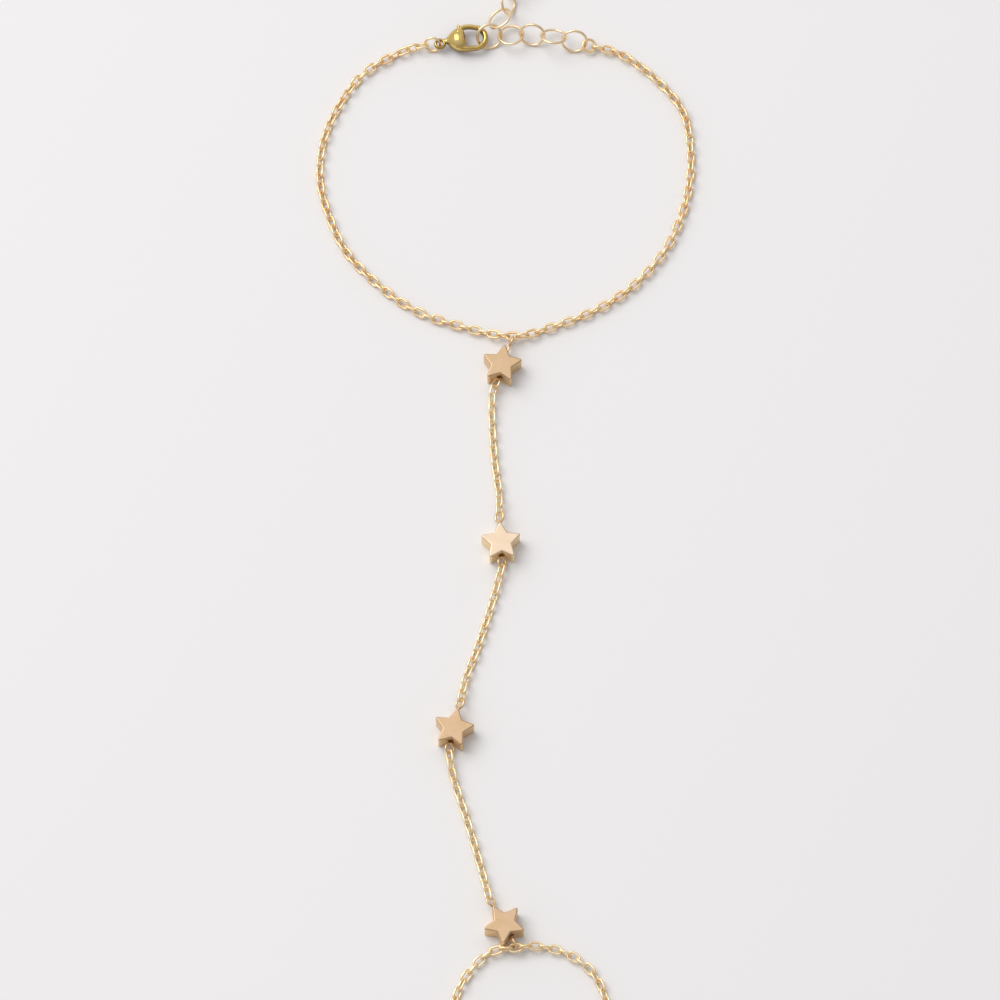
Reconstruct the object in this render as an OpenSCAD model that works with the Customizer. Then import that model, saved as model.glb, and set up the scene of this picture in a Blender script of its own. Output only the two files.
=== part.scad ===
// A hand chain bracelet that lies flat on a surface, in millimetres.
// X runs across the wrist loop, Y runs from the fingers to the wrist and Z is up.
// The origin is the middle of the wrist loop, on the surface that the chain lies on.

/* [Cable chain] */
// Outside length of one cable link
link_length = 2.36; // [2.34:0.02:2.6]
// Outside width of one cable link
link_width = 1.56; // [1.54:0.02:1.8]
// Thickness of the link's wire
link_wire = 0.35; // [0.28:0.01:0.36]
// Free play between two wires that hook into each other
play = 0.14; // [0.12:0.01:0.16]

/* [Star beads] */
// Distance from a star's centre to its tips
star_reach = 3.05; // [2.6:0.05:3.6]
// Distance from a star's centre to its notches
star_waist = 1.7; // [1.5:0.05:2]
// Thickness of a star
star_thick = 3; // [2.6:0.1:3.4]
// Rounding radius of a star's tips
tip_round = 0.3; // [0.2:0.05:0.45]
// Bore through a star, from one tip to the notch behind it
star_bore = 1; // [0.9:0.05:1.2]

/* [Star pins] */
// Thickness of the pin's wire
pin_wire = 0.36; // [0.3:0.02:0.44]
// Outside size of the round eye at each end of a pin
eye_size = 2; // [1.8:0.05:2.3]
// Bare pin between a star's tip and its eye
pin_neck = 0.5; // [0.4:0.05:1.2]

/* [Rings] */
// Outside size of an extender ring
ring_size = 4.3; // [4.1:0.05:4.6]
// Thickness of the extender rings' wire
ring_wire = 0.38; // [0.3:0.02:0.42]
// Outside size of the small ring that ends the wrist chain
connector_size = 2.4; // [2.3:0.05:2.6]
// Outside size of the jump ring at the clasp
jump_size = 2.8; // [2.6:0.05:3]
// Thickness of the jump ring's wire
jump_wire = 0.4; // [0.34:0.02:0.42]

/* [Clasp] */
// Distance from the clasp's eye to the far bend of its hook, centre to centre
clasp_reach = 7.25; // [7:0.05:8]
// Radius of the hook's bend, at the middle of its bar
hook_bend = 1.75; // [1.65:0.05:1.9]
// Thickness of the hook's round bar
hook_bar = 0.9; // [0.8:0.05:0.95]
// Thickness of the clasp's body
clasp_thick = 2.9; // [2.7:0.05:3.1]
// Width of the clasp's body
clasp_width = 4; // [3.8:0.05:4.2]
// Bore of the clasp's eye
clasp_bore = 1; // [0.95:0.05:1.2]
// Wall of the clasp's eye, outside its bore
clasp_wall = 0.42; // [0.35:0.01:0.5]
// Thickness of the lever's bar, seen from above
lever_bar = 0.68; // [0.6:0.02:0.76]
// Depth of the lever, from its upper to its lower face
lever_depth = 1.1; // [1:0.05:1.2]
// Thickness of the rivet that the lever turns on
rivet = 0.5; // [0.4:0.02:0.56]
// Running clearance between the rivet and the lever's bore
rivet_fit = 0.05; // [0.03:0.01:0.08]
// Gap between the lever and the slot that it moves in
lever_gap = 0.14; // [0.1:0.01:0.18]

/* [Hidden] */
$fn = 48;

chain_gold = [0.86, 0.75, 0.50];
star_gold = [0.88, 0.74, 0.60];
clasp_gold = [0.74, 0.58, 0.20];
extender_gold = [0.88, 0.76, 0.56];

// Routes of the lying chains, as points chosen by hand. What holds a chain gives its two ends.
wrist_points = [
    [-16.4, 22.8], [-22.4, 19], [-26.4, 13], [-28.6, 7], [-29, 0.5], [-27.5, -5.5],
    [-24.6, -11.8], [-19, -17.8], [-13.5, -21.7], [-7.4, -24], [1.15, -26.05], [6.8, -24.4],
    [12.4, -22.2], [17.5, -19.2], [21.9, -15.2], [25.3, -10.5], [27.5, -5.3], [28.8, 0.3],
    [29, 6], [27.9, 12.5], [23.8, 18], [18.2, 22.4]
];
// The wrist point that carries the first star, counted from 1
hang_point = 11;
strand_points = [
    [[-2.1, -36.4], [-2, -42], [-1.6, -47.5], [-1, -52]],
    [[-1.5, -68.2], [-2.8, -72.8], [-4.5, -78.2], [-6, -82.4]],
    [[-7.95, -98.6], [-5.9, -105.4], [-4.2, -111.4]]
];
finger_points = [
    [4.2, -125.8], [8.5, -126.6], [12.4, -129.1], [14.7, -133], [15.3, -137.5], [13, -143.8],
    [7.5, -148], [0.6, -148], [-5.3, -144.3], [-8, -138], [-7.2, -133], [-5, -129.2], [-2, -126.6]
];
path_steps = 6;

// How much the link pattern is turned about the chain, as [share of the length, angle]
wrist_twist = [[0.1, 40], [0.3, 45], [0.42, 25], [0.5, 0], [0.68, 4], [0.8, 30], [0.92, 42]];
finger_twist = [[0, 0], [0.1, 0], [0.2, 42], [0.5, 45], [0.83, 42], [0.95, 0], [1, 0]];
// Length over which a chain climbs to what holds it clear of the surface
climb_run = 6;

// Second, third and fourth star: [middle, angle from the middle to the bored tip]
star_places = [[[-0.7, -60.8], 93], [[-7.9, -91.3], 78], [[-0.2, -122.8], 117]];
star_1_angle = 71;
// Turn of each pin's two eyes, seen along the strand, as [eye at the tip, eye at the notch]
pin_turns = [[78, 44], [44, -45], [45, -44], [-45, 84]];
// Edge of a star, from its underside up: [share of the thickness, share of the outline]
star_rows = [[0, 0.84], [0.03, 0.91], [0.09, 0.965], [0.2, 1], [0.8, 1], [0.91, 0.965], [0.97, 0.91], [1, 0.84]];

clasp_heading = 7;
clasp_eye_at = [-10.3, 23.93];
// The jump ring, seen from the clasp: its heading, its turn about that and its drop
jump_heading = 181;
jump_turn = -56;
jump_drop = 8;
// Rings from the clasp to the chain: [heading, turn, height of the far end as a share of ring_size]
ring_lay = [
    [7.8, 42.0, 0.314],
    [-0.7, -18.0, 0.393],
    [-4.1, 59.9, 0.505],
    [-11.3, -32.5, 0.549],
    [-10.8, 58.3, 0.333]
];
connector_lay = [-12, 12, 0.23];
// Rings of the free tail, from the first ring outwards, in the same columns
tail_lay = [
    [60.9, -37.1, 0.54],
    [72.1, 59.5, 0.365],
    [67.0, -41.1, 0.337],
    [65.0, 30.9, 0.242],
    [63.0, -17.2, 0.156]
];
// Where the tail hangs on the first ring, as an angle round it
tail_seat = 60.3;
// Where the first ring lies in the hook: [angle round the bend, share of its inner radius, height]
hook_seat = [-2.7, 0.543, 0.25];

// Small maths
function spot(angle, reach) = [reach * cos(angle), reach * sin(angle)];
function bearing(v) = atan2(v[1], v[0]);
function half_turn(angle) = angle - 180 * round(angle / 180);
function near_turn(angle, wanted) = wanted + half_turn(angle - wanted);
function ease(t) = t <= 0 ? 0 : t >= 1 ? 1 : t * t * (3 - 2 * t);
function flat_part(v) = [v[0], v[1]];

// Smooth paths
function spline_point(a, b, c, d, t) =
    (2 * b + (c - a) * t + (2 * a - 5 * b + 4 * c - d) * t * t
        + (3 * b - a - 3 * c + d) * t * t * t) / 2;
function picked(p, i, closed) =
    closed ? p[(i + len(p) - 1) % (len(p) - 1)] : p[max(0, min(i, len(p) - 1))];
function smooth_path(p, closed = false) = [
    for (i = [0 : len(p) - 2], k = [0 : path_steps - 1])
        spline_point(picked(p, i - 1, closed), p[i], p[i + 1], picked(p, i + 2, closed), k / path_steps),
    p[len(p) - 1]
];
function lengths_along(p) = [
    for (i = 0, s = 0; i < len(p); s = s + norm(p[min(i + 1, len(p) - 1)] - p[i]), i = i + 1) s
];
function last(list) = list[len(list) - 1];
function places_along(p, at) =
    let (
        s = lengths_along(p),
        across = [for (i = [0 : len(p) - 1]) [s[i], p[i][0]]],
        along = [for (i = [0 : len(p) - 1]) [s[i], p[i][1]]]
    )
    [for (a = at) [lookup(a, across), lookup(a, along)]];

// Chains. A joint is where two links hook, and a link spans from one joint to the next.
link_pitch = link_length - 2 * link_wire - play;
link_reach = (link_width - link_wire) / 2;
function lying_height(turn) = link_reach * max(abs(sin(turn)), abs(cos(turn))) + link_wire / 2;
// Height of a joint at length s, lifted towards each [length, height] of lifts
function joint_height(rest, s, lifts, i = 0) =
    i == len(lifts) ? rest
    : (lifts[i][1] - rest) * (1 - ease(abs(s - lifts[i][0]) / climb_run))
        + joint_height(rest, s, lifts, i + 1);
function joints(p, at, turns, lifts) =
    let (flat = places_along(p, at))
    [
        for (i = [0 : len(at) - 1])
            let (
                before = lying_height(turns[max(i - 1, 0)]),
                after = lying_height(turns[min(i, len(turns) - 1)])
            )
            [flat[i][0], flat[i][1], joint_height(max(before, after), at[i], lifts)]
    ];
// A link, ring or pin is placed by a row: [middle, heading, climb, turn]
function span_row(a, b, turn) =
    [(a + b) / 2, bearing(b - a), atan2(b[2] - a[2], norm(flat_part(b - a))), turn];
function span_rows(joint, turns) = [for (i = [0 : len(turns) - 1]) span_row(joint[i], joint[i + 1], turns[i])];

// Rings. A ring's joint lies inside its far wire by half of the play.
function ring_pitch(size, wire) = size - 2 * wire - play;
function step_to(from, heading, height, pitch) =
    let (rise = height - from[2], run = sqrt(pitch * pitch - rise * rise))
    from + [run * cos(heading), run * sin(heading), rise];
function ring_joints(from, lay, pitch, i = 0) =
    i == len(lay) ? [from]
    : concat([from], ring_joints(step_to(from, lay[i][0], lay[i][2] * ring_size, pitch), lay, pitch, i + 1));
function column(table, c) = [for (row = table) row[c]];

// Stars and pins
eye_radius = (eye_size - pin_wire) / 2;
pin_height = star_thick / 2 - (star_bore - pin_wire) / 2 + play;
tip_eye = star_reach + pin_neck + eye_size / 2;
notch_eye = star_waist + 1.5 * play + eye_size / 2;
eye_joint = eye_size / 2 - pin_wire - play / 2;
// How far the eye's leaning wire is centred in the link that it hooks
hook_lean = 0.93;
function tip_joint(star) = star[0] + spot(star[1], tip_eye + eye_joint);
function notch_joint(star) = star[0] - spot(star[1], notch_eye + eye_joint);
// From a pin's eye to the middle of the chain link that passes through it sideways
function hooked_link(link_heading, pin_heading) =
    let (lean = pin_heading - link_heading, side = sin(lean) > 0 ? 1 : -1)
    spot(link_heading, hook_lean * eye_radius * cos(lean))
        + spot(link_heading + 90 * side,
            link_reach + eye_radius * abs(sin(lean)) - (link_wire + pin_wire) / 2 - play);

// Clasp, in its own frame: the eye is at 0, the hook points along X and the lever is on +Y
clasp_height = clasp_thick / 2;
clasp_eye = clasp_bore / 2 + clasp_wall;
bend_at = [clasp_reach - hook_bend, 0.35];
hook_inner = hook_bend - hook_bar / 2;
hook_open = 76;
// The hook's end is cut along the circle that the lever's end sweeps
lever_reach = 3.06;
end_gap = 0.1;
body_end = 4.05;
lever_pivot = [3.15, 1.35];
// Metal that the lever keeps round its rivet
boss_wall = 0.25;
lever_boss = rivet / 2 + rivet_fit + boss_wall;
// The lever rises from its rivet to a knee and runs from there to the hook's end
knee_rise = 0.85;
lever_knee = [body_end, lever_pivot[1] + knee_rise];
// The lever's square end is drawn back so that its corners stay inside the circle
tip_aim = 15.5;
tip_back = 0.15;
lever_tip = lever_pivot + spot(tip_aim, lever_reach - tip_back);
// Thumb nub, and how far it stands out of the body and leans to the hook
nub_width = 0.85 * lever_bar;
nub_out = 0.45;
nub_lean = 0.1;
thumb_top = [lever_pivot[0] + nub_lean, bend_at[1] + clasp_width / 2 + nub_out];
// A ball that ends a rod is this much larger than it
ball_share = 1.05;
// Radius of the body's two domed faces, and the rivet's length between them
face_dome = 1.6 * clasp_width;
rivet_length = 0.86 * clasp_thick;
jump_radius = (jump_size - jump_wire) / 2;
jump_at = clasp_eye_at + spot(jump_heading, jump_radius * cos(jump_drop));
function clasp_spot(p) =
    let (q = clasp_eye_at + spot(clasp_heading, p[0]) + spot(clasp_heading + 90, p[1])) [q[0], q[1], clasp_height + p[2]];

jump_height = clasp_height - jump_radius * sin(jump_drop);
jump_reach = jump_size / 2 - jump_wire - play / 2;

first_joint = let (seat = bend_at + spot(hook_seat[0], hook_seat[1] * hook_inner))
    clasp_spot([seat[0], seat[1], hook_seat[2]]);
extender_joint = ring_joints(first_joint, ring_lay, ring_pitch(ring_size, ring_wire));
extender_rows = span_rows(extender_joint, column(ring_lay, 1));
connector_end = step_to(
    last(extender_joint), connector_lay[0], connector_lay[2] * ring_size,
    ring_pitch(connector_size, ring_wire)
);
connector_row = span_row(last(extender_joint), connector_end, connector_lay[1]);
tail_start = placed(extender_rows[0], [
    (ring_size / 2 - ring_wire - play / 2) * cos(tail_seat),
    (ring_size / 2 - ring_wire - play / 2) * sin(tail_seat), 0
]);
tail_rows = span_rows(
    ring_joints(tail_start, tail_lay, ring_pitch(ring_size, ring_wire)), column(tail_lay, 1)
);
// Where a point of a row's own frame comes to lie
function placed(row, p) =
    let (
        rolled = [p[0], p[1] * cos(row[3]) - p[2] * sin(row[3]), p[1] * sin(row[3]) + p[2] * cos(row[3])],
        climbed = [
            rolled[0] * cos(row[2]) - rolled[2] * sin(row[2]), rolled[1],
            rolled[0] * sin(row[2]) + rolled[2] * cos(row[2])
        ],
        turned = spot(row[1], climbed[0]) + spot(row[1] + 90, climbed[1])
    )
    row[0] + [turned[0], turned[1], climbed[2]];

// Wrist chain
wrist_path = smooth_path(concat(
    [jump_at + spot(jump_heading, jump_reach)], wrist_points, [flat_part(connector_end)]
));
wrist_lengths = lengths_along(wrist_path);
// The hanging point is the middle of a link, so each side of it has a pitch of its own
hang_length = wrist_lengths[hang_point * path_steps];
rest_length = last(wrist_lengths) - hang_length;
hang_link = ceil(hang_length / link_pitch - 0.5);
after_links = ceil(rest_length / link_pitch - 0.5);
wrist_count = hang_link + after_links + 1;
wrist_at = [
    for (i = [0 : wrist_count])
        i <= hang_link ? i * hang_length / (hang_link + 0.5)
        : hang_length + (i - hang_link - 0.5) * rest_length / (after_links + 0.5)
];
wrist_ends = concat(
    [[0, near_turn(jump_turn + 90 * (hang_link + 1), wrist_twist[0][1])]], wrist_twist,
    [[1, near_turn(90 * (hang_link - wrist_count) - connector_lay[1], last(wrist_twist)[1])]]
);
wrist_turns = [
    for (i = [0 : wrist_count - 1]) 90 * (i - hang_link) + lookup(i / (wrist_count - 1), wrist_ends)
];
wrist_joints = joints(
    wrist_path, wrist_at, wrist_turns,
    [
        [0, jump_height - sin(jump_drop) * jump_reach],
        [hang_length, pin_height],
        [last(wrist_lengths), connector_end[2]]
    ]
);
wrist_rows = span_rows(wrist_joints, wrist_turns);

// Stars, as [middle, angle of the bored tip]. The first one hangs on the wrist chain.
star_1_at =
    let (link = wrist_rows[hang_link])
    flat_part(link[0]) - hooked_link(link[1], star_1_angle) - spot(star_1_angle, tip_eye);
stars = concat([[star_1_at, star_1_angle]], star_places);

// Strand chains, each from one star's notch eye to the next star's tip eye
function strand_rows(n) =
    let (
        points = strand_points[n],
        path = smooth_path(concat([notch_joint(stars[n])], points, [tip_joint(stars[n + 1])])),
        length = last(lengths_along(path)),
        count = ceil(length / link_pitch),
        first = pin_turns[n][1],
        extra = half_turn(pin_turns[n + 1][0] - first - 90 * (count + 1)),
        turns = [for (i = [1 : count]) first + 90 * i + extra * i / (count + 1)]
    )
    span_rows(
        joints(
            path, [for (i = [0 : count]) length * i / count], turns,
            [[0, pin_height], [length, pin_height]]
        ), turns
    );

// Finger chain, a closed loop that hangs on the last star's notch eye by its first link
finger_heading = 8;
finger_hang = stars[3][0] - spot(stars[3][1], notch_eye) + hooked_link(finger_heading, stars[3][1] + 180);
finger_path = smooth_path(concat([finger_hang], finger_points, [finger_hang]), true);
finger_length = last(lengths_along(finger_path));
finger_count = 2 * ceil(finger_length / link_pitch / 2);
finger_turns = [for (i = [0 : finger_count - 1]) 90 * i + lookup(i / finger_count, finger_twist)];
finger_at = [
    for (i = [0 : finger_count]) ((i + finger_count - 0.5) % finger_count) * finger_length / finger_count
];
finger_rows = span_rows(
    joints(finger_path, finger_at, finger_turns, [[0, pin_height], [finger_length, pin_height]]),
    finger_turns
);

module place(row) {
    translate(row[0]) rotate([0, -row[2], row[1]]) rotate([row[3], 0, 0]) children();
}

module wire_arc(radius, wire, angle) {
    rotate_extrude(angle = angle) translate([radius, 0]) circle(d = wire);
}

module ring(size, wire) {
    wire_arc((size - wire) / 2, wire, 360);
}

module cable_link() {
    straight = link_length - link_width;
    for (side = [1, -1]) {
        translate([side * straight / 2, 0]) rotate(-90 * side) wire_arc(link_reach, link_wire, 180);
        translate([-straight / 2, side * link_reach]) rotate([0, 90, 0]) cylinder(h = straight, d = link_wire);
    }
}

module cable_chain(rows) {
    color(chain_gold) for (row = rows) place(row) cable_link();
}

// Outline of a star with its bored tip on +X
function star_outline() =
    let (
        notch = spot(36, star_waist),
        round_at = [star_reach - tip_round, 0],
        edge = bearing(round_at - notch) + asin(tip_round / norm(round_at - notch)),
        sweep = 90 + edge
    )
    [
        for (tip = [0 : 4])
            each concat(
                [for (a = [-1, -0.5, 0, 0.5, 1]) turned(round_at + spot(a * sweep, tip_round), 72 * tip)],
                [turned(notch, 72 * tip)]
            )
    ];
function turned(p, angle) = spot(bearing(p) + angle, norm(p));

module stacked(outline, rows, height) {
    n = len(outline);
    top = len(rows) - 1;
    points = [
        for (row = rows, p = outline) [p[0] * row[1], p[1] * row[1], row[0] * height]
    ];
    faces = concat(
        [[for (i = [0 : n - 1]) i]],
        [for (r = [0 : top - 1], i = [0 : n - 1]) [
            (r + 1) * n + i, (r + 1) * n + (i + 1) % n, r * n + (i + 1) % n, r * n + i
        ]],
        [[for (i = [n - 1 : -1 : 0]) top * n + i]]
    );
    polyhedron(points, faces);
}

module star(place_and_angle) {
    at = place_and_angle[0];
    color(star_gold) translate([at[0], at[1], 0]) rotate(place_and_angle[1]) difference() {
        stacked(star_outline(), star_rows, star_thick);
        translate([-star_reach, 0, star_thick / 2]) rotate([0, 90, 0]) cylinder(h = 2 * star_reach, d = star_bore);
    }
}

module star_pin(place_and_angle, turns) {
    at = place_and_angle[0];
    length = tip_eye + notch_eye - 2 * eye_radius;
    color(star_gold) translate([at[0], at[1], pin_height]) rotate(place_and_angle[1]) {
        translate([eye_radius - notch_eye, 0]) rotate([0, 90, 0]) cylinder(h = length, d = pin_wire);
        translate([tip_eye, 0]) rotate([-turns[0], 0, 0]) ring(eye_size, pin_wire);
        translate([-notch_eye, 0]) rotate([-turns[1], 0, 0]) ring(eye_size, pin_wire);
    }
}

module in_clasp() {
    translate([clasp_eye_at[0], clasp_eye_at[1], clasp_height]) rotate(clasp_heading) children();
}

// Body of the clasp, turned about its long line: [distance from the eye, share of half the width]
body_profile = [
    [0.62, 0], [0.62, 0.12], [0.8, 0.2], [1.1, 0.25], [1.45, 0.42], [1.9, 0.68], [2.4, 0.89],
    [2.95, 1], [3.45, 0.98], [3.8, 0.86], [4, 0.66], [body_end, 0.45], [body_end, 0]
];

module clasp_body() {
    color(clasp_gold) in_clasp() {
        difference() {
            union() {
                ring(2 * clasp_eye, clasp_wall);
                intersection() {
                    translate([0, bend_at[1]]) rotate([0, 90, 0]) rotate_extrude()
                        polygon([for (p = body_profile) [p[1] * clasp_width / 2, p[0]]]);
                    translate([lever_pivot[0], bend_at[1], clasp_height - face_dome]) sphere(r = face_dome);
                    translate([lever_pivot[0], bend_at[1], face_dome - clasp_height]) sphere(r = face_dome);
                }
            }
            cylinder(h = clasp_thick, d = clasp_bore, center = true);
            translate([
                lever_pivot[0] - lever_boss - lever_gap, lever_pivot[1] - lever_boss - lever_gap,
                -lever_depth / 2 - lever_gap
            ]) cube([body_end, clasp_width, lever_depth + 2 * lever_gap]);
        }
        translate([lever_pivot[0], lever_pivot[1], 0])
            cylinder(h = rivet_length, d = rivet, center = true);
        difference() {
            translate([bend_at[0], bend_at[1], 0]) rotate(-90) wire_arc(hook_bend, hook_bar, 90 + hook_open);
            translate([lever_pivot[0], lever_pivot[1], 0])
                cylinder(h = clasp_thick, r = lever_reach + end_gap, center = true);
        }
        translate([lever_pivot[0], bend_at[1] - hook_bend, 0]) rotate([0, 90, 0])
            cylinder(h = bend_at[0] - lever_pivot[0], d = hook_bar);
    }
}

// Outline of a strip from a by way of b to c, with this half width
function bent_strip(a, b, c, half) =
    let (
        start = spot(bearing(b - a) + 90, 1),
        end = spot(bearing(c - b) + 90, 1),
        bend = (start + end) / (1 + start * end)
    )
    [a + half * start, b + half * bend, c + half * end, c - half * end, b - half * bend, a - half * start];

module rod(a, b, d) {
    translate([a[0], a[1], 0]) rotate([0, 90, bearing(b - a)]) cylinder(h = norm(b - a), d = d);
}

module clasp_lever() {
    color(clasp_gold) in_clasp() difference() {
        union() {
            translate([lever_pivot[0], lever_pivot[1], 0])
                cylinder(h = lever_depth, r = lever_boss, center = true);
            linear_extrude(lever_depth, center = true)
                polygon(bent_strip(lever_pivot, lever_knee, lever_tip, lever_bar / 2));
            rod(lever_pivot, thumb_top, nub_width);
            translate([thumb_top[0], thumb_top[1], 0]) sphere(d = ball_share * nub_width);
        }
        translate([lever_pivot[0], lever_pivot[1], 0])
            cylinder(h = clasp_thick, d = rivet + 2 * rivet_fit, center = true);
    }
}

module clasp_ring() {
    color(clasp_gold) place([[jump_at[0], jump_at[1], jump_height], jump_heading, -jump_drop, jump_turn])
        ring(jump_size, jump_wire);
}

module connector_ring() {
    color(extender_gold) place(connector_row) ring(connector_size, ring_wire);
}

module extender_chain() {
    color(extender_gold) for (row = concat(extender_rows, tail_rows)) place(row) ring(ring_size, ring_wire);
}

cable_chain(wrist_rows);  // wrist_chain
cable_chain(strand_rows(0));  // strand_chain_1
cable_chain(strand_rows(1));  // strand_chain_2
cable_chain(strand_rows(2));  // strand_chain_3
cable_chain(finger_rows);  // finger_chain
star(stars[0]);  // star_1
star(stars[1]);  // star_2
star(stars[2]);  // star_3
star(stars[3]);  // star_4
star_pin(stars[0], pin_turns[0]);  // star_pin_1
star_pin(stars[1], pin_turns[1]);  // star_pin_2
star_pin(stars[2], pin_turns[2]);  // star_pin_3
star_pin(stars[3], pin_turns[3]);  // star_pin_4
clasp_body();
clasp_lever();
clasp_ring();
connector_ring();
extender_chain();
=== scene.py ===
"""A fine gold-tone hand chain with four star beads, lying on a pale floor."""

import math

import bmesh
import bpy
import numpy as np
from mathutils import Matrix, Vector


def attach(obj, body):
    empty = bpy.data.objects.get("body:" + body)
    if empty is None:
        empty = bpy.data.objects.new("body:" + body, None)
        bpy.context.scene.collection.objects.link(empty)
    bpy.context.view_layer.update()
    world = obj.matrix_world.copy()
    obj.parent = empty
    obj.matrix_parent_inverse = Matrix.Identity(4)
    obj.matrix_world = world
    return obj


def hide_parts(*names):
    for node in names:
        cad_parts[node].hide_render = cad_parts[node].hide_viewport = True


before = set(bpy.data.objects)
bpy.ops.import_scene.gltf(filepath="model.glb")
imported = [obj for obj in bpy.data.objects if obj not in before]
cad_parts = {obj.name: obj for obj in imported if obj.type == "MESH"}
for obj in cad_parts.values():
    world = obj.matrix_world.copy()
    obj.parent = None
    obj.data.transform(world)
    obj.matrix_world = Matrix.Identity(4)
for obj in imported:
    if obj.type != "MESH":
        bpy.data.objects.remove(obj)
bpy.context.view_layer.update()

MM = 0.001
WELD = 1e-6
UP = Vector((0, 0, 1))
# Faces that meet at less than this angle, in degrees, are shaded as one smooth skin
SMOOTH_BELOW = 70

# Camera: the photo's view, as an angle above the floor and a focal length in pixels of the frame
FRAME_PIXELS = 1000
FOCAL_PIXELS = 8300
SENSOR = 36
ELEVATION = 68
CAMERA_REACH = 1278.9 * MM
LOOK_AT = Vector((-0.86, -52.89, 0)) * MM

# Cable chain
LINK_LENGTH = 2.36 * MM
LINK_WIDTH = 1.56 * MM
LINK_WIRE = 0.39 * MM
WIRE_SIDES = 6
# A multiple of four, so that no corner lies on the line where a link is parted
LINK_STEPS = 16

# Star beads
STARS = [1, 2, 3, 4]
STAR_POINTS = 5
STAR_REACH = 3.05 * MM
STAR_WAIST = 1.7 * MM
STAR_THICK = 3 * MM
TIP_ROUND = 0.3 * MM
TIP_SEGMENTS = 6
STAR_RIM = 0.2 * MM
RIM_SEGMENTS = 4
STAR_BORE = 1 * MM
STAR_SMOOTH_BELOW = 32

# Rings
RING_SIZE = 4.29 * MM
RING_WIRE = 0.43 * MM
CONNECTOR_SIZE = 2.4 * MM
JUMP_SIZE = 2.8 * MM
JUMP_WIRE = 0.4 * MM
RING_SIDES = 14
RING_STEPS = 56

# Clasp, in its own frame in millimetres: the eye is at 0, the hook points along X, the lever is on +Y
CLASP_EYE = Vector((-10.3, 23.93, 1.45)) * MM
CLASP_HEADING = 7
OVAL_SIDES = 40
BAR_SIDES = 32

# Eye of the clasp: a ring that is drawn out upward
EYE_RING = 0.69
EYE_WIRE = 0.48
EYE_TALL = 1.5
EYE_SIDES = 20
EYE_STEPS = 48

# Bulb: X and share of the full width. Its height is full a little sooner than its width
BULB_MIDDLE = 0.35
BULB_HALF = 2.0
BULB_HIGH = 1.43
BULB_FULLER = 1.08
BULB_PROFILE = [
    (0.62, 0.14), (0.8, 0.2), (1.1, 0.26), (1.45, 0.42), (1.9, 0.67), (2.4, 0.88),
    (2.95, 0.99), (3.45, 0.97), (3.8, 0.86), (4.0, 0.66), (4.05, 0.4),
]

# Hook: stations on its arm as X, Y, half width, half height, then a round bend that ends at HOOK_OPEN
HOOK_ARM = [
    (1.9, -0.35, 0.5, 0.75), (2.4, -0.75, 0.52, 0.8), (2.9, -1.06, 0.5, 0.76), (3.4, -1.26, 0.46, 0.7),
    (4.0, -1.36, 0.43, 0.62), (4.7, -1.4, 0.41, 0.56), (5.4, -1.4, 0.41, 0.53),
]
HOOK_CENTRE = Vector((5.5, 0.35, 0))
HOOK_BEND = 1.75
HOOK_OPEN = 76
HOOK_STEPS = 22
# Half width and half height of the bend, from the arm to the hook's end
HOOK_WIDE = (0.41, 0.5)
HOOK_HIGH = (0.53, 0.62)

# Lever: its middle line, then the boss on the rivet and the thumb nub with its shares of the full size
LEVER_PIVOT = Vector((3.15, 1.35, 0))
LEVER_LINE = [
    (3.15, 1.35), (3.3, 1.85), (3.6, 2.22), (4.1, 2.4),
    (4.7, 2.42), (5.3, 2.32), (5.9, 2.13), (6.5, 1.88),
]
LEVER_HALF = 0.38
LEVER_DEPTH = 1.1
LEVER_BOSS = 0.55
NUB_TOP = Vector((3.25, 2.8, 0))
NUB_HALF = 0.29
NUB_HEADING = 86
NUB_SHARES = [0.8, 0.85, 0.85, 0.85, 0.85, 0.9, 1, 1, 0.85]
RIVET = 0.25
RIVET_LENGTH = 2.6
RIVET_HOLE = 0.3

# Slot of the lever in the bulb, from this corner on
SLOT_FROM = Vector((2.46, 0.66, 0))
SLOT_HALF = 0.69

# Where the lever meets the hook: a heading from the pivot, and how far along it each of the two ends
END_HEADING = 10
HOOK_CUT = 3.11
LEVER_CUT = 3.05
# Corners of the space that is cut free for the lever's end, along that heading, and one past the clasp
END_SPACE = (Vector((0.5, -1, -2)), Vector((HOOK_CUT, 2, 2)))
PAST_CLASP = Vector((6, 6, 4))

# Melting of the clasp's parts into one skin
BODY_VOXEL = 0.05
BODY_ROUNDS = 5
LEVER_VOXEL = 0.035
LEVER_ROUNDS = 6

# Wear that every gold here has. Sizes and the marks' depth are shares of a blotch or of a grain
TONE_LEVELS = (0.3, 0.7)
STAIN_LEVELS = (0.6, 0.78)
STAIN_SIZE = 0.45
STAIN_DETAIL = 4.0
STAIN_COVER = 0.45
STAIN_ROUGH = 0.12
MARK_STRETCH = (1, 0.25, 1)
MARK_DETAIL = 3.0
MARK_ROUGH = 0.16
MARK_DEPTH = 0.1
DENT_SIZE = 4
DENT_DEPTH = 0.6
# Heights between which a bead goes from its flanks' colour to its top's, and how much the flanks take.
# The flanks' colour is painted light: a lighter, warmer gold that lifts the shade on the sides
STAR_FLANK_PAINTED_LIGHT = (2.74 * MM, 2.94 * MM, 0.9)

# Floor, and a softbox from the upper left
FLOOR_SIZE = 3
FLOOR_COLOUR = (0.84, 0.83, 0.84, 1)
FLOOR_ROUGH = 0.6
SOFTBOX_AT = Vector((-0.75, 0.5, 1.25))
SOFTBOX_SIZE = 1.25
SOFTBOX_WATTS = 13
SOFTBOX_COLOUR = (1.0, 0.985, 0.96)

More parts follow.
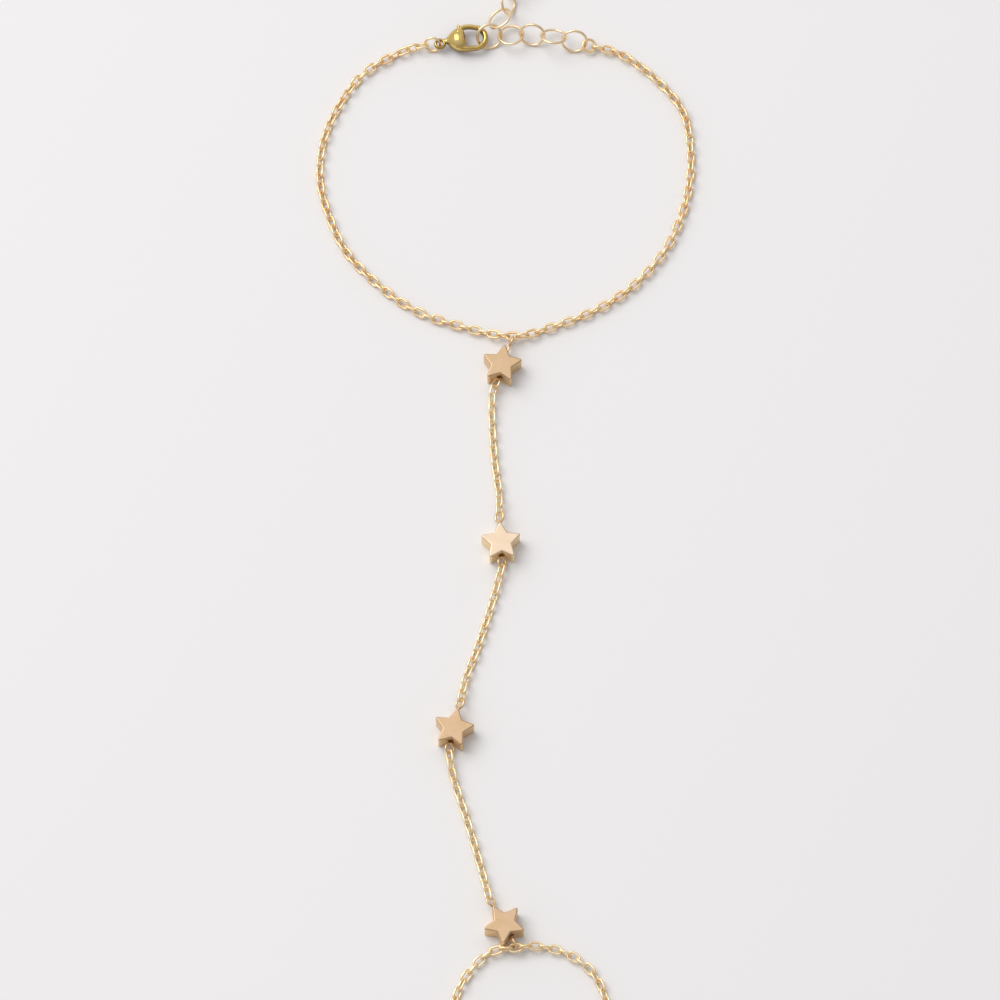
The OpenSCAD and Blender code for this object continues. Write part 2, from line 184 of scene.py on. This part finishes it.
# Light of the room, by how far a direction turns to its bright side
ROOM_BRIGHT_SIDE = Vector((-0.45, 0.5, 0.75))
ROOM_STOPS = [
    (0.0, (0.56, 0.54, 0.53, 1)), (0.35, (0.71, 0.71, 0.71, 1)),
    (0.62, (0.82, 0.82, 0.84, 1)), (0.85, (1.0, 1.0, 1.0, 1)),
]
ROOM_STRENGTH = 0.765


# Solids of the CAD nodes

def middle_of(corners):
    """Middle of the box round these corners."""
    return (corners.min(axis=0) + corners.max(axis=0)) / 2


class Solid:
    """One loose solid of a CAD node, with its corners and triangles."""

    def __init__(self, corners, triangles):
        self.corners = corners
        self.triangles = triangles

    def place(self):
        """Where it lies, as a matrix: X runs along its longest side and Z is its flattest way."""
        points = self.corners[self.triangles]
        middles = points.mean(axis=1)
        normals = np.cross(points[:, 1] - points[:, 0], points[:, 2] - points[:, 0])
        areas = np.linalg.norm(normals, axis=1)
        centre = np.average(middles, axis=0, weights=areas)
        spread = np.cov((middles - centre).T, aweights=areas)
        flat, wide, long = np.linalg.eigh(spread)[1].T
        axes = np.array([long, np.cross(flat, long), flat])
        centre = middle_of(self.corners @ axes.T) @ axes
        matrix = Matrix(axes.T.tolist()).to_4x4()
        matrix.translation = Vector(centre.tolist())
        return matrix


def solids_of(node):
    """The loose solids of a CAD node, read from a merged copy of its mesh."""
    bm = bmesh.new()
    bm.from_mesh(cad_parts[node].data)
    bmesh.ops.remove_doubles(bm, verts=bm.verts, dist=WELD)
    found, seen = [], set()
    for first in bm.verts:
        if first in seen:
            continue
        seen.add(first)
        island, ahead = [], [first]
        while ahead:
            vert = ahead.pop()
            island.append(vert)
            for edge in vert.link_edges:
                other = edge.other_vert(vert)
                if other not in seen:
                    seen.add(other)
                    ahead.append(other)
        number = {vert: i for i, vert in enumerate(island)}
        faces = {face for vert in island for face in vert.link_faces}
        triangles = [
            [number[loop.vert] for loop in face.loops]
            for face in sorted(faces, key=lambda face: face.index)
        ]
        found.append(Solid(np.array([vert.co for vert in island]), np.array(triangles)))
    bm.free()
    return found


# Meshes and objects

def mesh_from(name, bm):
    """A mesh made of the bmesh, which is freed."""
    mesh = bpy.data.meshes.new(name)
    bm.to_mesh(mesh)
    bm.free()
    return mesh


def add_object(name, data):
    """An object with this data, in the scene."""
    made = bpy.data.objects.new(name, data)
    bpy.context.scene.collection.objects.link(made)
    return made


def discard(made):
    """Deletes an object and its mesh."""
    mesh = made.data
    bpy.data.objects.remove(made)
    bpy.data.meshes.remove(mesh)


def baked(name, bm, modifiers):
    """The bmesh with these modifiers applied, each as (type, settings)."""
    holder = add_object(name, mesh_from(name, bm))
    for kind, settings in modifiers:
        modifier = holder.modifiers.new(kind, kind)
        for key, value in settings.items():
            setattr(modifier, key, value)
    bpy.context.view_layer.update()
    done = bmesh.new()
    done.from_object(holder, bpy.context.evaluated_depsgraph_get())
    discard(holder)
    return done


def cut(bm, tool):
    """The bmesh without the volume of the tool, which is another bmesh."""
    cutter = add_object("cutter", mesh_from("cutter", tool))
    settings = {"operation": "DIFFERENCE", "object": cutter, "solver": "EXACT"}
    done = baked("cut", bm, [("BOOLEAN", settings)])
    discard(cutter)
    return done


def melted(name, parts, voxel, rounds):
    """Overlapping closed parts made into one skin with soft edges."""
    whole = bmesh.new()
    for part in parts:
        mesh = mesh_from(name, part)
        whole.from_mesh(mesh)
        bpy.data.meshes.remove(mesh)
    return baked(name, whole, [
        ("REMESH", {"mode": "VOXEL", "voxel_size": voxel}),
        ("SMOOTH", {"factor": 0.5, "iterations": rounds}),
    ])


def finished(name, bm, material, body, node, smooth_below=SMOOTH_BELOW):
    """Turns a bmesh into a shown piece of the object that stands for a CAD node."""
    mesh = mesh_from(name, bm)
    mesh.materials.append(material)
    for face in mesh.polygons:
        face.use_smooth = True
    mesh.set_sharp_from_angle(angle=math.radians(smooth_below))
    piece = add_object(name, mesh)
    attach(piece, body)
    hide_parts(node)
    return piece


# Simple forms

def add_circle(bm, radius, sides, matrix):
    """A ring of corners and edges, drawn in the matrix's own XY plane."""
    corners = bmesh.ops.create_circle(bm, radius=radius, segments=sides, matrix=matrix)["verts"]
    return [bm.edges.get(pair) for pair in zip(corners, corners[1:] + corners[:1])]


def ring_mesh(size, wire, sides, steps):
    """A closed round ring of round wire about Z."""
    bm = bmesh.new()
    at = Matrix.Translation(((size - wire) / 2, 0, 0)) @ Matrix.Rotation(math.pi / 2, 4, "X")
    edges = add_circle(bm, wire / 2, sides, at)
    bmesh.ops.spin(
        bm, geom=list(bm.verts) + edges, cent=(0, 0, 0), axis=UP, dvec=(0, 0, 0),
        angle=2 * math.pi, steps=steps, use_merge=True, use_duplicate=False,
    )
    bmesh.ops.remove_doubles(bm, verts=bm.verts, dist=WELD)
    bmesh.ops.recalc_face_normals(bm, faces=bm.faces)
    return bm


def round_bar(radius, length, matrix):
    """A closed round bar along the matrix's own Z, centred on it."""
    bm = bmesh.new()
    bmesh.ops.create_cone(
        bm, cap_ends=True, segments=BAR_SIDES, radius1=radius, radius2=radius,
        depth=length, matrix=matrix,
    )
    return bm


def block(low, high, matrix=Matrix()):
    """A closed box between two corners."""
    bm = bmesh.new()
    sized = Matrix.Translation((low + high) / 2) @ Matrix.Diagonal((*(high - low), 1))
    bmesh.ops.create_cube(bm, size=1, matrix=matrix @ sized)
    return bm


def loft(stations):
    """A closed skin over oval stations, each (middle, heading, half width, half height)."""
    bm = bmesh.new()
    rims = []
    for at, heading, wide, high in stations:
        turn = Matrix.Rotation(math.radians(heading), 4, "Z") @ Matrix.Rotation(math.pi / 2, 4, "Y")
        oval = Matrix.Translation(at) @ turn @ Matrix.Diagonal((high, wide, 1, 1))
        rims.append(add_circle(bm, 1, OVAL_SIDES, oval))
    for first, second in zip(rims, rims[1:]):
        bmesh.ops.bridge_loops(bm, edges=first + second)
    for rim in (rims[0], rims[-1]):
        bmesh.ops.edgeloop_fill(bm, edges=rim)
    bmesh.ops.recalc_face_normals(bm, faces=bm.faces)
    return bm


# Node maths

class Value:
    """A socket whose maths is written as Python expressions."""

    def __init__(self, nodes, socket):
        self.nodes = nodes
        self.socket = socket

    def maths(self, operation, first, second):
        return self.nodes.node("ShaderNodeMath", {"operation": operation}, {0: first, 1: second})

    def __add__(self, other):
        return self.maths("ADD", self, other)

    def __sub__(self, other):
        return self.maths("SUBTRACT", self, other)

    def __rsub__(self, other):
        return self.maths("SUBTRACT", other, self)

    def __mul__(self, other):
        return self.maths("MULTIPLY", self, other)

    __radd__ = __add__
    __rmul__ = __mul__


class Nodes:
    """A node tree whose nodes are made by one method."""

    def __init__(self, tree):
        self.tree = tree

    def set(self, socket, value):
        """Links a value to the socket, or writes a plain number or colour on it."""
        if isinstance(value, Value):
            self.tree.links.new(value.socket, socket)
        else:
            socket.default_value = value

    def node(self, kind, settings=None, inputs=None, output=0):
        """A node of this type with its settings made first, as the value of one of its outputs."""
        made = self.tree.nodes.new(kind)
        for name, value in (settings or {}).items():
            if name == "stops":
                self.set_stops(made.color_ramp.elements, value)
            else:
                setattr(made, name, value)
        for name, value in (inputs or {}).items():
            self.set(made.inputs[name], value)
        return Value(self, made.outputs[output])

    def set_stops(self, elements, stops):
        """Gives a colour ramp these stops, each as (place, colour)."""
        while len(elements) < len(stops):
            elements.new(0.5)
        for element, (at, colour) in zip(elements, stops):
            element.position = at
            element.color = colour


class Finish(Nodes):
    """A material on Object coordinates."""

    def __init__(self, name):
        self.material = bpy.data.materials.new(name)
        self.material.use_nodes = True
        super().__init__(self.material.node_tree)
        self.inputs = self.tree.nodes["Principled BSDF"].inputs
        self.coords = self.node("ShaderNodeTexCoord", output="Object")

    def noise(self, size, detail=2.0, stretch=(1, 1, 1)):
        """Noise from 0 to 1 whose blotches are about size metres across."""
        scale = [share / size for share in stretch]
        at = self.node("ShaderNodeMapping", inputs={"Vector": self.coords, "Scale": scale})
        return self.node("ShaderNodeTexNoise", inputs={"Vector": at, "Scale": 1.0, "Detail": detail})

    def step(self, value, low, high):
        """0 below low, 1 above high."""
        return self.node(
            "ShaderNodeMapRange", {"interpolation_type": "SMOOTHSTEP"},
            {"Value": value, "From Min": low, "From Max": high},
        )

    def blend(self, factor, first, second):
        """Goes from the first colour to the second."""
        return self.node(
            "ShaderNodeMix", {"data_type": "RGBA"}, {0: factor, 6: first, 7: second}, output=2
        )


# Finishes

def rgb(red, green, blue):
    return (red, green, blue, 1.0)


def gold(name, light, deep, tarnish, rough, grain, bump, blotch, painted_shading=None):
    """Plated metal: two tones that drift over the surface, thin tarnish and fine wear marks.

    The last argument is (low, high, share, colour): the surface takes on that colour below these
    heights. It is painted light on the star beads' sides and painted shade on the clasp's lower parts.
    """
    finish = Finish(name)
    drift = finish.step(finish.noise(blotch), *TONE_LEVELS)
    colour = finish.blend(drift, light, deep)
    stain = finish.step(finish.noise(blotch * STAIN_SIZE, STAIN_DETAIL), *STAIN_LEVELS)
    colour = finish.blend(stain * STAIN_COVER, colour, tarnish)
    # Painted light and shade: the colour below the given heights stands in for how light falls on the
    # lower sides
    if painted_shading:
        low, high, share, painted_shading_colour = painted_shading
        height = finish.node("ShaderNodeSeparateXYZ", inputs={0: finish.coords}, output="Z")
        colour = finish.blend((1 - finish.step(height, low, high)) * share, colour, painted_shading_colour)
    marks = finish.noise(grain, MARK_DETAIL, MARK_STRETCH)
    dents = finish.noise(grain * DENT_SIZE)
    relief = finish.node("ShaderNodeBump", inputs={
        "Strength": bump, "Distance": grain * MARK_DEPTH, "Height": marks + dents * DENT_DEPTH,
    })
    finish.set(finish.inputs["Base Color"], colour)
    finish.set(finish.inputs["Metallic"], 1.0)
    finish.set(finish.inputs["Roughness"], rough + stain * STAIN_ROUGH + (marks - 0.5) * MARK_ROUGH)
    finish.set(finish.inputs["Normal"], relief)
    return finish.material


def bead_gold(name, light, deep, tarnish, painted_shading_colour):
    """The star beads' finish: a matt top, and flanks painted a lighter, warmer gold, as painted light
    on their shaded sides.
    """
    return gold(
        name, light, deep, tarnish, rough=0.42, grain=0.07 * MM, bump=0.5, blotch=1.8 * MM,
        painted_shading=(*STAR_FLANK_PAINTED_LIGHT, painted_shading_colour),
    )


def plain(name, colour, rough):
    """A material of one colour."""
    finish = Finish(name)
    finish.set(finish.inputs["Base Color"], colour)
    finish.set(finish.inputs["Roughness"], rough)
    return finish.material


CHAIN_GOLD = gold(
    "chain_gold", rgb(1.0, 0.79, 0.48), rgb(0.98, 0.70, 0.39), rgb(0.80, 0.53, 0.30),
    rough=0.40, grain=0.12 * MM, bump=0.3, blotch=3.2 * MM,
)
# The chain beyond the wrist loop is a little paler
STRAND_GOLD = gold(
    "strand_gold", rgb(1.0, 0.85, 0.57), rgb(1.0, 0.77, 0.46), rgb(0.86, 0.61, 0.37),
    rough=0.42, grain=0.12 * MM, bump=0.3, blotch=3.2 * MM,
)
# The flank colours of both star finishes are painted light on the beads' shaded sides
STAR_GOLD = bead_gold(
    "star_gold", rgb(0.585, 0.41, 0.265), rgb(0.555, 0.39, 0.23), rgb(0.47, 0.32, 0.18),
    painted_shading_colour=rgb(0.82, 0.60, 0.34),
)
# The second star catches more light, so its finish is painted lighter and paler than the others: a
# painted highlight
PAINTED_HIGHLIGHT_STAR = 2
STAR_GOLD_PAINTED_HIGHLIGHT = bead_gold(
    "star_gold_painted_highlight", rgb(0.74, 0.59, 0.45), rgb(0.71, 0.56, 0.41), rgb(0.60, 0.44, 0.30),
    painted_shading_colour=rgb(0.95, 0.74, 0.44),
)
PIN_GOLD = gold(
    "pin_gold", rgb(0.88, 0.65, 0.38), rgb(0.80, 0.56, 0.30), rgb(0.60, 0.40, 0.20),
    rough=0.35, grain=0.12 * MM, bump=0.3, blotch=1.5 * MM,
)
# Painted shade: below 1.4 to 2 mm of height the clasp goes dark brown, where its sides and its lever's
# inner face fall in shade
CLASP_GOLD = gold(
    "clasp_gold", rgb(0.84, 0.62, 0.24), rgb(0.62, 0.42, 0.12), rgb(0.26, 0.15, 0.03),
    rough=0.18, grain=0.15 * MM, bump=0.2, blotch=2 * MM,
    painted_shading=(1.4 * MM, 2.0 * MM, 0.92, rgb(0.22, 0.12, 0.03)),
)
EXTENDER_GOLD = gold(
    "extender_gold", rgb(0.99, 0.81, 0.57), rgb(0.90, 0.69, 0.42), rgb(0.70, 0.49, 0.28),
    rough=0.34, grain=0.12 * MM, bump=0.25, blotch=2.4 * MM,
)


# Chains and rings

def link_mesh():
    """A cable link: a round ring that is parted in the middle and drawn out to its length."""
    bm = ring_mesh(LINK_WIDTH, LINK_WIRE, WIRE_SIDES, LINK_STEPS)
    half_step = Matrix.Rotation(math.pi / LINK_STEPS, 3, "Z")
    bmesh.ops.rotate(bm, verts=bm.verts, cent=(0, 0, 0), matrix=half_step)
    for side in (1, -1):
        half = [vert for vert in bm.verts if vert.co.x * side > 0]
        bmesh.ops.translate(bm, verts=half, vec=(side * (LINK_LENGTH - LINK_WIDTH) / 2, 0, 0))
    return bm


def join_at(bm, part, matrix):
    """Adds a copy of the mesh part to bm, moved by the matrix."""
    part.transform(matrix)
    bm.from_mesh(part)
    part.transform(matrix.inverted())


def repeated(name, unit, node, material):
    """A piece made of the bmesh unit, laid once where each loose solid of the node lies."""
    part = mesh_from(name + "_unit", unit)
    bm = bmesh.new()
    for solid in solids_of(node):
        join_at(bm, part, solid.place())
    bpy.data.meshes.remove(part)
    return finished(name, bm, material, "bracelet", node)


def chains():
    """The wrist loop, the three strands and the finger loop."""
    repeated("wrist_chain_links", link_mesh(), "wrist_chain", CHAIN_GOLD)
    for node in ["strand_chain_1", "strand_chain_2", "strand_chain_3", "finger_chain"]:
        repeated(node + "_links", link_mesh(), node, STRAND_GOLD)


def rings():
    """The extender's rings, the connector ring and the clasp's jump ring."""
    for node, size, wire, material, slot in [
        ("extender_chain", RING_SIZE, RING_WIRE, EXTENDER_GOLD, "extender_gold"),
        ("connector_ring", CONNECTOR_SIZE, RING_WIRE, CHAIN_GOLD, "extender_gold"),
        ("clasp_ring", JUMP_SIZE, JUMP_WIRE, CHAIN_GOLD, "clasp_gold"),
    ]:
        repeated(node + "_round", ring_mesh(size, wire, RING_SIDES, RING_STEPS), node, material)


# Stars

def rise(edge):
    """How far one end of the edge is above the other."""
    return abs(edge.verts[0].co.z - edge.verts[1].co.z)


def round_off(bm, edges, offset, segments, clamp):
    """Bevels these edges round."""
    bmesh.ops.bevel(
        bm, geom=edges, offset=offset, offset_type="OFFSET", segments=segments,
        affect="EDGES", profile=0.5, material=-1, clamp_overlap=clamp,
    )


def star_mesh():
    """A thick five-point star with its bored tip on +X, standing on Z = 0."""
    half_point = 180 / STAR_POINTS
    notch_turn = math.radians(half_point)
    round_at = Vector((STAR_REACH - TIP_ROUND, 0))
    notch = Vector((math.cos(notch_turn), math.sin(notch_turn))) * STAR_WAIST
    run = round_at - notch
    slope = math.atan2(-run.y, run.x) - math.asin(TIP_ROUND / run.length)
    sharp_reach = round_at.x + TIP_ROUND / math.sin(slope)
    bm = bmesh.new()
    outline = []
    for i in range(2 * STAR_POINTS):
        reach = STAR_WAIST if i % 2 else sharp_reach
        turn = math.radians(half_point * i)
        outline.append(bm.verts.new((reach * math.cos(turn), reach * math.sin(turn), 0)))
    under = bm.faces.new(outline)
    grown = bmesh.ops.extrude_face_region(bm, geom=[under])["geom"]
    top = [item for item in grown if isinstance(item, bmesh.types.BMVert)]
    bmesh.ops.translate(bm, verts=top, vec=(0, 0, STAR_THICK))
    upright = [edge for edge in bm.edges if rise(edge) > STAR_THICK / 2]
    tips = [edge for edge in upright if edge.verts[0].co.xy.length > STAR_REACH]
    round_off(bm, tips, TIP_ROUND / math.tan(slope), TIP_SEGMENTS, clamp=False)
    bmesh.ops.recalc_face_normals(bm, faces=bm.faces)
    rims = [edge for edge in bm.edges if rise(edge) < WELD and len(edge.link_faces) == 2]
    round_off(bm, rims, STAR_RIM, RIM_SEGMENTS, clamp=True)
    return bm


def star_bead(number):
    """A star bead where its CAD solid lies, its bored tip on the side where its pin reaches further."""
    corners = solids_of(f"star_{number}")[0].corners
    top = corners[corners[:, 2] > corners[:, 2].max() - WELD]
    middle = top.mean(axis=0)
    toward = middle_of(solids_of(f"star_pin_{number}")[0].corners) - middle
    turn = math.atan2(toward[1], toward[0])
    lengthwise = Matrix.Translation((0, 0, STAR_THICK / 2)) @ Matrix.Rotation(math.pi / 2, 4, "Y")
    bm = cut(star_mesh(), round_bar(STAR_BORE / 2, 4 * STAR_REACH, lengthwise))
    place = Matrix.Translation((middle[0], middle[1], 0)) @ Matrix.Rotation(turn, 4, "Z")
    bmesh.ops.transform(bm, matrix=place, verts=bm.verts)
    # The second star takes the finish with the painted highlight
    material = STAR_GOLD_PAINTED_HIGHLIGHT if number == PAINTED_HIGHLIGHT_STAR else STAR_GOLD
    piece = finished(
        f"star_bead_{number}", bm, material, "bracelet", f"star_{number}",
        smooth_below=STAR_SMOOTH_BELOW,
    )
    shading = piece.modifiers.new("flat_faces", "WEIGHTED_NORMAL")
    shading.weight = 100
    shading.keep_sharp = True


def star_pin(number):
    """The gold on a CAD pin, which shows as it is."""
    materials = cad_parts[f"star_pin_{number}"].data.materials
    materials.clear()
    materials.append(PIN_GOLD)


# Clasp

def clasp_place():
    """From the clasp's own frame in millimetres to the scene."""
    turn = Matrix.Rotation(math.radians(CLASP_HEADING), 4, "Z")
    return Matrix.Translation(CLASP_EYE) @ turn @ Matrix.Scale(MM, 4)


def pivot_place():
    """The frame at the lever's pivot."""
    return Matrix.Translation(LEVER_PIVOT)


def end_place():
    """The frame at the pivot whose X runs to where the lever meets the hook."""
    return pivot_place() @ Matrix.Rotation(math.radians(END_HEADING), 4, "Z")


def clasp_bulb():
    """The bulb, with the slot that the lever lies in."""
    bulb = loft([
        (Vector((x, BULB_MIDDLE, 0)), 0, BULB_HALF * share, BULB_HIGH * min(1, share * BULB_FULLER))
        for x, share in BULB_PROFILE
    ])
    low = Vector((SLOT_FROM.x, SLOT_FROM.y, -SLOT_HALF))
    return cut(bulb, block(low, Vector((PAST_CLASP.x, PAST_CLASP.y, SLOT_HALF))))


def clasp_hook():
    """The arm and the bend, which stops short of the lever's end."""
    stations = [(Vector((x, y, 0)), 0, wide, high) for x, y, wide, high in HOOK_ARM]
    for i in range(1, HOOK_STEPS + 1):
        turn = -90 + (90 + HOOK_OPEN) * i / HOOK_STEPS
        spoke = Vector((math.cos(math.radians(turn)), math.sin(math.radians(turn)), 0))
        wide, high = (a + (b - a) * i / HOOK_STEPS for a, b in (HOOK_WIDE, HOOK_HIGH))
        stations.append((HOOK_CENTRE + HOOK_BEND * spoke, turn + 90, wide, high))
    return cut(loft(stations), block(*END_SPACE, end_place()))


def clasp_body():
    """Eye, slotted bulb, hook and rivet."""
    eye = ring_mesh(2 * EYE_RING + EYE_WIRE, EYE_WIRE, EYE_SIDES, EYE_STEPS)
    bmesh.ops.scale(eye, verts=eye.verts, vec=(1, 1, EYE_TALL))
    rivet = round_bar(RIVET, RIVET_LENGTH, pivot_place())
    bm = melted("clasp_skin", [clasp_bulb(), clasp_hook(), eye, rivet], BODY_VOXEL, BODY_ROUNDS)
    bmesh.ops.transform(bm, matrix=clasp_place(), verts=bm.verts)
    finished("clasp_body_skin", bm, CLASP_GOLD, "bracelet", "clasp_body")


def lever_rod():
    """The rounded bar from the rivet to the hook's end."""
    line = [Vector((x, y, 0)) for x, y in LEVER_LINE]
    stations = []
    for i, at in enumerate(line):
        run = line[min(i + 1, len(line) - 1)] - line[max(i - 1, 0)]
        stations.append((at, math.degrees(math.atan2(run.y, run.x)), LEVER_HALF, LEVER_DEPTH / 2))
    low = Vector((LEVER_CUT, -PAST_CLASP.y, -PAST_CLASP.z))
    return cut(loft(stations), block(low, PAST_CLASP, end_place()))


def lever_nub():
    """The nub for the thumb."""
    steps = len(NUB_SHARES) - 1
    return loft([
        (LEVER_PIVOT.lerp(NUB_TOP, i / steps), NUB_HEADING, NUB_HALF * share, LEVER_DEPTH / 2 * share)
        for i, share in enumerate(NUB_SHARES)
    ])


def clasp_lever():
    """The lever: boss on the rivet, rod and nub."""
    boss = round_bar(LEVER_BOSS, LEVER_DEPTH, pivot_place())
    bm = melted("lever_skin", [lever_rod(), lever_nub(), boss], LEVER_VOXEL, LEVER_ROUNDS)
    bm = cut(bm, round_bar(RIVET_HOLE, 2 * LEVER_DEPTH, pivot_place()))
    bmesh.ops.transform(bm, matrix=clasp_place(), verts=bm.verts)
    finished("clasp_lever_skin", bm, CLASP_GOLD, "clasp_lever", "clasp_lever")


# Floor, light and camera

def floor():
    bm = bmesh.new()
    bmesh.ops.create_grid(bm, x_segments=1, y_segments=1, size=FLOOR_SIZE)
    mesh = mesh_from("floor", bm)
    mesh.materials.append(plain("pale_floor", FLOOR_COLOUR, FLOOR_ROUGH))
    add_object("floor", mesh)


def softbox():
    """A round light that is aimed at the middle of the view."""
    light = bpy.data.lights.new("softbox", "AREA")
    light.shape = "DISK"
    light.size = SOFTBOX_SIZE
    light.energy = SOFTBOX_WATTS
    light.color = SOFTBOX_COLOUR
    made = add_object("softbox", light)
    made.location = LOOK_AT + SOFTBOX_AT
    made.rotation_euler = SOFTBOX_AT.to_track_quat("Z", "Y").to_euler()


def room():
    """A room that is bright on the softbox's side and dim on the other."""
    world = bpy.data.worlds.new("studio")
    bpy.context.scene.world = world
    world.use_nodes = True
    nodes = Nodes(world.node_tree)
    way = nodes.node("ShaderNodeTexCoord", output="Generated")
    turned = nodes.node(
        "ShaderNodeVectorMath", {"operation": "DOT_PRODUCT"},
        {0: way, 1: ROOM_BRIGHT_SIDE.normalized()}, output="Value",
    )
    back = world.node_tree.nodes["Background"].inputs
    nodes.set(back["Color"], nodes.node("ShaderNodeValToRGB", {"stops": ROOM_STOPS}, {0: turned}))
    nodes.set(back["Strength"], ROOM_STRENGTH)
    bpy.context.scene.view_settings.view_transform = "Standard"


def camera():
    lens = bpy.data.cameras.new("camera")
    lens.sensor_width = SENSOR
    lens.lens = SENSOR * FOCAL_PIXELS / FRAME_PIXELS
    made = add_object("camera", lens)
    tilt = math.radians(ELEVATION)
    made.location = LOOK_AT + Vector((0, -math.cos(tilt), math.sin(tilt))) * CAMERA_REACH
    made.rotation_euler = (math.pi / 2 - tilt, 0, 0)
    bpy.context.scene.camera = made


chains()
rings()
for number in STARS:
    star_bead(number)
    star_pin(number)
clasp_body()
clasp_lever()
floor()
softbox()
room()
camera()
